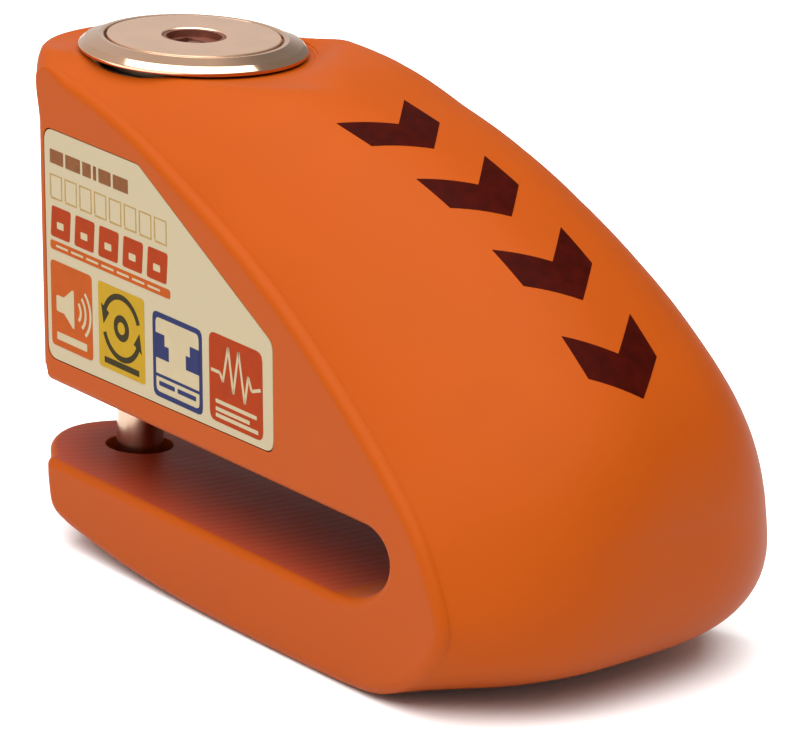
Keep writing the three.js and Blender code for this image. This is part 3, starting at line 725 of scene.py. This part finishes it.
# ---------------------------------------------------------------- cap and barrel
def build_barrel():
    """Cap, pin and shell of the barrel, with its seal, and the bush that it slides in."""
    ring = [(CORE_R + 1.2, CAP_Z), (CAP_R - 0.1, CAP_Z), (CAP_R, CAP_Z + 0.5),
            (CAP_R - 0.75, CAP_Z + 1.2), (FACE_R + 0.95, FACE_Z - 0.08), (FACE_R + 0.3, FACE_Z - 0.12),
            (FACE_R + 0.26, CAP_Z + 0.7), (CORE_R + 1.2, CAP_Z + 0.7)]
    done(lathe("cap_bezel", rounded(ring, 0.22, 4), steel, segments=160), "barrel", "cap_ring")
    face = [(KEY_R, CAP_Z + 1), (FACE_R, CAP_Z + 1), (FACE_R, FACE_Z - 0.18),
            (FACE_R - 0.06, FACE_Z - 0.05), (FACE_R - 0.2, FACE_Z), (KEY_R + 0.12, FACE_Z),
            (KEY_R, FACE_Z - 0.12), (KEY_R, FACE_Z - 0.3)]
    done(lathe("cap_disc", face, brushed, segments=160), "barrel", "cap_face")

    pin = [(0, PIN_TIP), (PIN_R - 0.9, PIN_TIP), (PIN_R - 0.15, PIN_TIP + 0.65), (PIN_R, PIN_TIP + 1),
           (PIN_R, PIN_TOP - 0.2), (PIN_R - 0.2, PIN_TOP), (0, PIN_TOP)]
    done(lathe("pin", pin, pin_steel, x=0, segments=96), "barrel", "lock_pin")

    top = CAP_Z - 0.3
    groove_r = BARREL_R - 1.4
    wall = [(0, BARREL_FOOT), (BARREL_R - 0.4, BARREL_FOOT), (BARREL_R, BARREL_FOOT + 0.4),
            (BARREL_R, SEAL_Z - 1), (groove_r, SEAL_Z - 1), (groove_r, SEAL_Z + 1),
            (BARREL_R, SEAL_Z + 1), (BARREL_R, top - 0.2), (BARREL_R - 0.2, top), (0, top)]
    shell = lathe("shell", wall, dark_steel)
    stop_half = STOP_R + GAP
    ramp_foot = SWITCH_Z - TRAVEL - 3
    ramp = [(RAMP_X, ramp_foot), (BARREL_X + 20, ramp_foot), (BARREL_X + 20, SWITCH_Z + 3),
            (RAMP_X + (TRAVEL + 6) / TRAVEL, SWITCH_Z + 3)]

    def bore(name, start, end, r):
        return rod(name, start, end, r, dark_steel, edge=0)

    cut(shell,
        bore("core_bore", (BARREL_X, 0, CORE_ROOM_FLOOR), (BARREL_X, 0, BEYOND), CORE_R + GAP),
        bore("cam_bore", (BARREL_X, 0, CAM_ROOM_FLOOR), (BARREL_X, 0, CORE_ROOM_FLOOR + 0.3), CAM_ROOM_R),
        bore("spring_pocket", (SPRING_X, 0, 20), (SPRING_X, 0, SPRING_ROOM_TOP), SPRING_ROOM_R),
        bore("bolt_holes", (BARREL_X, -20, BOLT_Z), (BARREL_X, 20, BOLT_Z), BOLT_R + GAP),
        bore("pin_socket", (0, 0, 20), (0, 0, PIN_TOP + GAP), PIN_R + GAP),
        block("stop_groove", GROOVE_X, BARREL_X + 14, STOP_Y - stop_half, STOP_Y + stop_half,
              STOP_Z - stop_half - TRAVEL, STOP_Z + stop_half, dark_steel),
        prism("switch_ramp", ramp, SWITCH_Y - 2.2, SWITCH_Y + 2.2, dark_steel))
    done(shell, "barrel", "barrel_shell")
    done(lathe("seal_ring", circle(BARREL_R - 0.5, SEAL_Z, SEAL_R, 20), rubber), "barrel", "barrel_seal")
    bush_in, bush_out = BORE_R + 0.05, BORE_R + BUSH_WALL - GAP
    bush_low, bush_high = BUSH_SEAT + GAP, BUSH_SEAT + GAP + BUSH_LONG
    bush = [(bush_in, bush_low + 0.2), (bush_in + 0.2, bush_low), (bush_out, bush_low),
            (bush_out, bush_high), (bush_in + 0.2, bush_high), (bush_in, bush_high - 0.2)]
    done(lathe("bush", bush, brass), "casing", "bore_bush")


def build_cover():
    """Side cover with its sound slots, and its screws."""
    cover = laid(1, "cover", rounded(COVER, 1.3, 10), -COVER_THICK, -0.1, paint)
    holes = []
    low, high = SOUND_SLOT_LOW, SOUND_SLOT_HIGH
    for x in SOUND_SLOTS:
        end = x + SOUND_SLOT_WIDE
        sound_slot = rounded([(x, low), (end, low), (end, high), (x, high)], 0.6, 6)
        holes.append(laid(1, "sound_slot", sound_slot, -5, 2, paint))
    for x, z in COVER_SCREWS:
        holes.append(laid(1, "screw_hole", circle(x, z, SCREW_R + GAP), -10, 2, paint))
        holes.append(laid(1, "head_seat", circle(x, z, SCREW_R + 1.15), -1.6, 2, paint))
    cut(cover, *holes)
    done(bevel(cover, 0.18, 3, 50), "casing", "side_cover")
    for i, (x, z) in enumerate(COVER_SCREWS):
        screw = laid(1, f"screw_{i + 1}", circle(x, z, SCREW_R + 0.85), -1.3, -0.3, dark_steel, edge=0.15)
        shank = laid(1, "shank", circle(x, z, SCREW_R), -SCREW_LONG, -1.2, dark_steel)
        cut(screw, shank, operation="UNION")
        cut(screw, laid(1, "socket", circle(x, z, 0.9, 6), -0.9, 1, dark_steel))
        done(screw, "casing", f"cover_screw_{i + 1}")


def build_core():
    """Core face: a sleeve round a sunk plate with the keyway and the nub in its middle, all in a dark
    brown steel that is painted shade for the inside of the keyhole.
    """
    profile = [(0, CORE_FOOT), (CORE_R, CORE_FOOT), (CORE_R, CAP_Z + 0.6), (KEY_R - 0.08, CAP_Z + 0.7),
               (KEY_R - 0.08, FACE_Z - 0.15), (KEY_R - 0.5, FACE_Z - 0.15),
               (KEY_R - 0.5, FACE_Z - KEY_SUNK), (0, FACE_Z - KEY_SUNK)]
    plate = lathe("key_core", profile, core_steel_painted_shade)
    keyway = block("keyway", BARREL_X - KEYWAY_LONG / 2, BARREL_X + KEYWAY_LONG / 2, -KEYWAY_WIDE / 2,
                   KEYWAY_WIDE / 2, 60, 70, core_steel_painted_shade)
    cut(plate, keyway)
    nub = rod("nub", (BARREL_X, 0, CORE_FOOT), (BARREL_X, 0, FACE_Z - 0.9), 1, core_steel_painted_shade)
    cut(plate, nub, operation="UNION")
    done(plate, "core", "core_face")


# ---------------------------------------------------------------- label
def build_label():
    """Label film with its print, drawn in the x and z of the side face."""
    film = laid(-1, "label", rounded(grown(LABEL, 0.1), 1.9), 0.0, 0.4, cream, edge=0.08)
    done(film, "casing", "side_label")
    numbers = itertools.count(1)

    def ink(outline, material, level=0, name="print"):
        """A printed shape, a few hundredths of a millimetre proud of the film."""
        top = -0.02 - 0.015 * level
        obj = laid(-1, f"{name}_{next(numbers):02d}", outline, top, 0.02, material)
        smooth(obj)
        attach(obj, "casing")
        return obj

    def bar(x0, x1, z0, z1, material, level=0, r=0.15, name="print"):
        return ink(rounded([(x0, z0), (x1, z0), (x1, z1), (x0, z1)], r, 3), material, level, name)

    def ribbon(points, width, material, level=0, name="print"):
        """Open line of the given width."""
        left, right = [], []
        for i, p in enumerate(points):
            a, b = Vector(points[max(i - 1, 0)]), Vector(points[min(i + 1, len(points) - 1)])
            side = (b - a).normalized()
            off = Vector((-side.y, side.x)) * width / 2
            left.append(tuple(Vector(p) + off))
            right.append(tuple(Vector(p) - off))
        return ink(left + right[::-1], material, level, name)

    def on_circle(cx, cz, r, angle):
        return cx + r * math.cos(math.radians(angle)), cz + r * math.sin(math.radians(angle))

    def arc(cx, cz, r, start, end, steps=16):
        return [on_circle(cx, cz, r, start + (end - start) * k / steps) for k in range(steps + 1)]

    # upper rows: plain bars in place of words
    for x0, x1 in [(-0.6, 2.4), (2.9, 6.2), (6.7, 8.6), (9.1, 9.8), (10.3, 13.0), (13.5, 16.8)]:
        bar(x0, x1, 50.7, 52.5, brown_ink, name="row_one")
    for k in range(8):
        x0 = -0.6 + k * 3.3
        ribbon([(x0, 46.2), (x0 + 2.5, 46.2), (x0 + 2.5, 49.2), (x0, 49.2), (x0, 46.4)], 0.28, gold_ink,
               name="row_two")
    for k in range(5):
        x0 = -0.8 + k * 5.35
        ink(rounded([(x0, 41.2), (x0 + 4.3, 41.2), (x0 + 4.7, 45.2), (x0 + 0.4, 45.2)], 0.4, 4), red_ink,
            name="row_three")
        bar(x0 + 1.5, x0 + 3.0, 42.4, 43.3, cream_ink, 1, name="row_three_gap")
    bar(-0.9, 25.7, 39.5, 40.7, orange_ink, r=0.4, name="underline")
    for k in range(7):
        bar(0.4 + 3.4 * k, 3.1 + 3.4 * k, 39.95, 40.25, cream_ink, 1, r=0.1, name="underline_mark")

    # tile one: sound arcs
    bar(-1.0, 8.3, 27.0, 38.1, orange_ink, r=0.7, name="tile_sound")
    speaker = [(0.2, 31.6), (1.9, 31.6), (4.2, 29.9), (4.2, 35.4), (1.9, 33.7), (0.2, 33.7)]
    ink(rounded(speaker, 0.3, 3), cream_ink, 1)
    for r in (1.5, 2.6, 3.7):
        ribbon(arc(4.2, 32.65, r, -48, 48), 0.45, cream_ink, 1)
    bar(0.2, 7.0, 27.9, 28.9, cream_ink, 1)

    # tile two: a pin with turning arrows
    bar(9.7, 19.9, 27.0, 38.0, yellow_ink, r=0.5, name="tile_turn")
    cx, cz = 14.8, 33.0
    for start in (20, 200):
        ribbon(arc(cx, cz, 4.0, start, start + 135, 24), 0.75, olive_ink, 1)
        head = [on_circle(cx, cz, r, start + angle) for r, angle in ((3.0, 133), (5.0, 133), (4.0, 165))]
        ink(head, olive_ink, 1)
    ink(circle(cx, cz, 1.7, 32), olive_ink, 1)
    ink(circle(cx, cz, 0.8, 24), yellow_ink, 2)
    bar(10.9, 18.6, 27.7, 28.5, olive_ink, 1)

    # tile three: a bolt that locks at both ends
    bar(21.7, 32.4, 26.4, 37.3, blue_ink, r=1.0, name="tile_bolt")
    bar(22.4, 31.7, 27.1, 36.6, cream_ink, 1, r=0.7)
    for x0, x1, z0, z1 in [(22.4, 24.3, 33.2, 34.6), (22.4, 25.2, 31.4, 33.2),
                           (29.8, 31.7, 33.2, 34.6), (28.9, 31.7, 31.4, 33.2)]:
        ink([(x0, z0), (x1, z0), (x1, z1), (x0, z1)], blue_ink, 2)
    bar(22.4, 31.7, 29.0, 29.4, blue_ink, 2, r=0.05)
    for x0, x1 in [(23.0, 26.4), (27.0, 31.0)]:
        bar(x0, x1, 27.9, 28.5, blue_ink, 2)

    # tile four: a pulse
    bar(33.9, 45.2, 26.6, 37.8, red_ink, r=1.2, name="tile_pulse")
    pulse = [(34.3, 33.0), (36.2, 33.0), (36.8, 32.0), (38.0, 36.6), (39.0, 31.0),
             (40.2, 36.6), (41.4, 30.4), (42.2, 34.0), (42.9, 32.4), (44.8, 33.0)]
    for a, b in zip(pulse, pulse[1:]):
        ribbon([a, b], 0.42, cream_ink, 1, name="pulse")
    for z0, x1 in ((29.0, 43.9), (28.0, 42.4), (27.2, 44.2)):
        bar(35.2, x1, z0, z0 + 0.5, cream_ink, 1, r=0.1)


# ---------------------------------------------------------------- graphic on the back
def build_back_graphic():
    """Four plain chevrons, laid on the crown like paint."""
    first, last = 4.9, 9.75  # reach of the graphic along the outline's control points
    fine = 200
    curve = []
    run = 0.0
    before = None
    for k in range(fine + 1):
        u = first + (last - first) * k / fine
        here = Vector(skin_point(station(u), 0))
        run += (here - before).length if before else 0
        curve.append((run, u))
        before = here

    def u_at(distance):
        for (s0, u0), (s1, u1) in zip(curve, curve[1:]):
            if s1 >= distance:
                return u0 + (u1 - u0) * (distance - s0) / (s1 - s0)
        return curve[-1][1]

    centre_y = -2.3
    half = 5.6  # half the width of a chevron
    band = 6.2  # thickness of its arms along the back
    rise = 4.6  # how far its point leads its ends
    above, under_skin = 0.045, -0.05
    pitch = (curve[-1][0] - band - rise) / 3
    columns, rows = 24, 12
    for mark in range(4):
        layers = []
        for lift in (above, under_skin):
            grid = []
            for i in range(columns + 1):
                y = -half + 2 * half * i / columns
                start = pitch * mark + rise * (1 - abs(y) / half)
                for j in range(rows + 1):
                    place = station(u_at(start + band * j / rows))
                    across = (y + centre_y) / (half_width(place[0], place[1]) - EDGE_R)
                    grid.append(skin_point(place, across, lift))
            layers.append(grid)
        n, m = columns + 1, rows + 1
        points = layers[0] + layers[1]
        under = n * m
        faces = []
        for i in range(columns):
            for j in range(rows):
                a, b, c, d = i * m + j, i * m + j + 1, (i + 1) * m + j + 1, (i + 1) * m + j
                faces += [(a, b, c, d), (under + d, under + c, under + b, under + a)]
        for i in range(columns):
            for j in (0, rows):
                a, b = i * m + j, (i + 1) * m + j
                faces.append((a, b, under + b, under + a))
        for j in range(rows):
            for i in (0, columns):
                a, b = i * m + j, i * m + j + 1
                faces.append((a, b, under + b, under + a))
        obj = mesh_piece(f"back_chevron_{mark + 1}", points, faces, paint_dark)
        smooth(obj)
        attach(obj, "casing")


# ---------------------------------------------------------------- CAD pieces kept as they are
CAD_FINISH = {
    "cover_gasket": rubber, "disc_carrier": brass, "tail_cam": steel,
    "locking_bolt_left": steel, "locking_bolt_right": steel, "return_spring": steel, "stop_pin": steel,
    "battery_cradle": black_plastic, "battery": sleeve,
    "battery_contact_back": brass, "battery_contact_front": brass,
    "circuit_board": solder_mask, "siren_disc": brass, "controller_chip": black_plastic,
    "shock_sensor": steel, "capacitor": sleeve, "siren_coil": brass,
    "switch_body": grey_plastic, "switch_plunger": brass,
}


def finish_cad_nodes():
    for name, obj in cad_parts.items():
        finish = brass if name.startswith("lock_disc") else CAD_FINISH.get(name)
        if finish:
            obj.data.materials.clear()
            obj.data.materials.append(finish)


# ---------------------------------------------------------------- stage, light, camera
DARK_SIDE = (0.73, 0.67, 0.0)  # the room is dimmer to the camera's right
DIM_FROM = 0.03
DIM_TO = 0.2
ROOM_BRIGHT = 0.74
ROOM_DIM = 0.30
FLOOR_REACH = 6.0
LAMP_PLACE = (0.12, -0.26, 0.92)
LAMP_AIM = (0, 0, 0.03)
CAMERA_PLACE = (561.09, -566.62, 253.91)
CAMERA_TURN = math.radians(42.378)  # round to the closed back, from a square look at the label's side
CAMERA_HEIGHT = math.radians(16.152)  # looking down
CAMERA_TILT = math.radians(2.749)


def build_stage():
    mesh = bpy.data.meshes.new("floor")
    r = FLOOR_REACH
    mesh.from_pydata([(-r, -r, 0), (r, -r, 0), (r, r, 0), (-r, r, 0)], [], [(0, 1, 2, 3)])
    floor = bpy.data.objects.new("floor", mesh)
    scene.collection.objects.link(floor)
    mesh.materials.append(finish_of("floor_paper", (0.93, 0.93, 0.93), 0.9, mottle=0.005, mottle_size=40,
                                    grain_depth=0.0005))

    world = bpy.data.worlds.new("room")
    scene.world = world
    world.use_nodes = True
    nodes, links = world.node_tree.nodes, world.node_tree.links
    coords = nodes.new("ShaderNodeTexCoord")
    side = nodes.new("ShaderNodeVectorMath")
    side.operation = "DOT_PRODUCT"
    side.inputs[1].default_value = DARK_SIDE
    links.new(coords.outputs["Generated"], side.inputs[0])
    fade = nodes.new("ShaderNodeMapRange")
    fade.interpolation_type = "SMOOTHSTEP"
    fade.inputs["From Min"].default_value = DIM_FROM
    fade.inputs["From Max"].default_value = DIM_TO
    fade.inputs["To Min"].default_value = ROOM_BRIGHT
    fade.inputs["To Max"].default_value = ROOM_DIM
    links.new(side.outputs["Value"], fade.inputs["Value"])
    background = nodes["Background"]
    background.inputs["Color"].default_value = (1.0, 0.97, 0.94, 1.0)
    links.new(fade.outputs["Result"], background.inputs["Strength"])

    lamp = bpy.data.lights.new("top", "AREA")
    lamp.size = 1.5
    lamp.energy = 32.0
    softbox = bpy.data.objects.new("top", lamp)
    softbox.location = LAMP_PLACE
    softbox.rotation_euler = (Vector(LAMP_AIM) - Vector(LAMP_PLACE)).to_track_quat("-Z", "Y").to_euler()
    scene.collection.objects.link(softbox)


def build_camera():
    lens = bpy.data.cameras.new("camera")
    lens.sensor_width = 36.0
    lens.lens = 294.8
    lens.clip_start = 0.05
    lens.clip_end = 50.0
    camera = bpy.data.objects.new("camera", lens)
    scene.collection.objects.link(camera)
    aim = Matrix.Rotation(CAMERA_TURN, 4, "Z") @ Matrix.Rotation(math.pi / 2 - CAMERA_HEIGHT, 4, "X")
    tilt = Matrix.Rotation(CAMERA_TILT, 4, "Z")
    camera.matrix_world = Matrix.Translation(at(*CAMERA_PLACE)) @ aim @ tilt
    scene.camera = camera


build_stage()
build_camera()
build_body()
build_barrel()
build_core()
build_cover()
build_label()
build_back_graphic()
finish_cad_nodes()

scene.view_settings.view_transform = "Standard"
scene.view_settings.look = "None"
